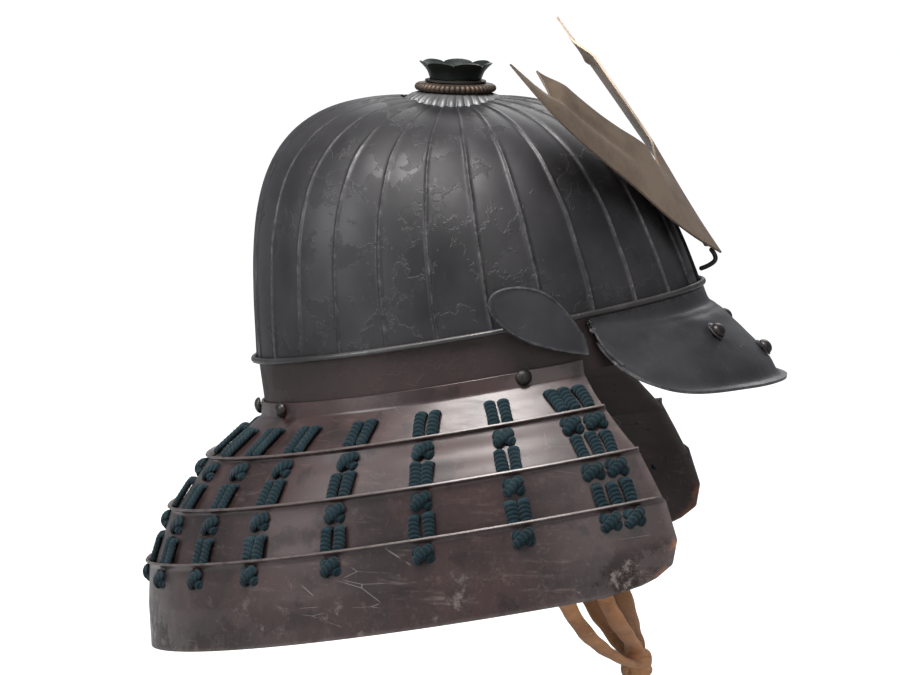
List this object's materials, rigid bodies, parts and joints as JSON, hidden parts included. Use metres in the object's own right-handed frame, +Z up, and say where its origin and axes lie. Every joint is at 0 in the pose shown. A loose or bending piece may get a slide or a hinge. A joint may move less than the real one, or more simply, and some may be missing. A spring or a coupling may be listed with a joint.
{
  "type": "kabuto samurai helmet",
  "caption": "Ribbed iron samurai helmet with a laced flared neck guard, visor, turn-backs, two-horned crest, crown fittings and chin cord.",
  "frame": {"origin": "centre of the head opening, at the lower edge of the band round the foot of the bowl", "axes": "+Z up, -Y towards the visor, +X towards the wearer's left; the helmet is raised 10 degrees at the front"},
  "size_m": [0.314, 0.3548, 0.3615],
  "materials": {
    "band": "plain dark brown iron",
    "bowl": "dark lacquered iron, worn on the ribs",
    "bowl_rim": "thin raised line, worn bright",
    "chin_leather": "soft tan strap",
    "crest": "pale worn gold plate",
    "crest_rod": "dark iron",
    "crest_socket": "dark iron",
    "crown_base": "silver-grey fluted ring",
    "crown_cup": "blackish green flared cup",
    "crown_plate": "dark plate",
    "crown_ring": "dark bronze fluted ring",
    "lace_cord": "dark teal braided cord",
    "lame_lacquer": "brown lacquered iron with a burgundy tint, worn",
    "ring_iron": "dark iron",
    "rivet_iron": "dark iron dome",
    "stud_iron": "dark iron dome",
    "turn_back_iron": "pewter grey satin iron",
    "visor": "pewter grey satin iron",
    "washer_iron": "grey iron"
  },
  "bodies": {
    "root": {"bowl": "bowl", "bowl_rim": "bowl_rim", "band": "band", "rivet_back": "rivet_iron", "rivet_left_back": "rivet_iron", "rivet_left_front": "rivet_iron", "rivet_right_back": "rivet_iron", "rivet_right_front": "rivet_iron", "lame_1": "lame_lacquer", "lame_2": "lame_lacquer", "lame_3": "lame_lacquer", "lame_4": "lame_lacquer", "lace_back": "lace_cord", "lace_left_1": "lace_cord", "lace_right_1": "lace_cord", "lace_left_2": "lace_cord", "lace_right_2": "lace_cord", "lace_left_3": "lace_cord", "lace_right_3": "lace_cord", "lace_left_4": "lace_cord", "lace_right_4": "lace_cord", "lace_left_5": "lace_cord", "lace_right_5": "lace_cord", "lace_left_6": "lace_cord", "lace_right_6": "lace_cord", "lace_left_7": "lace_cord", "lace_right_7": "lace_cord", "visor_washer_centre": "washer_iron", "visor_stud_centre": "stud_iron", "visor_washer_left": "washer_iron", "visor_stud_left": "stud_iron", "visor_washer_right": "washer_iron", "visor_stud_right": "stud_iron", "visor": "visor", "turn_back_left": "turn_back_iron", "turn_back_right": "turn_back_iron", "crown_ring": "crown_ring", "crown_plate": "crown_plate", "crown_cup": "crown_cup", "crown_base": "crown_base", "crest": "crest", "crest_socket": "crest_socket", "crest_rod": "crest_rod", "chin_cord_left_back": "chin_leather", "cord_ring_left_back": "ring_iron", "chin_cord_left_front": "chin_leather", "cord_ring_left_front": "ring_iron", "chin_cord_right_back": "chin_leather", "cord_ring_right_back": "ring_iron", "chin_cord_right_front": "chin_leather", "cord_ring_right_front": "ring_iron", "chin_knot": "chin_leather"}
  },
  "joints": []
}
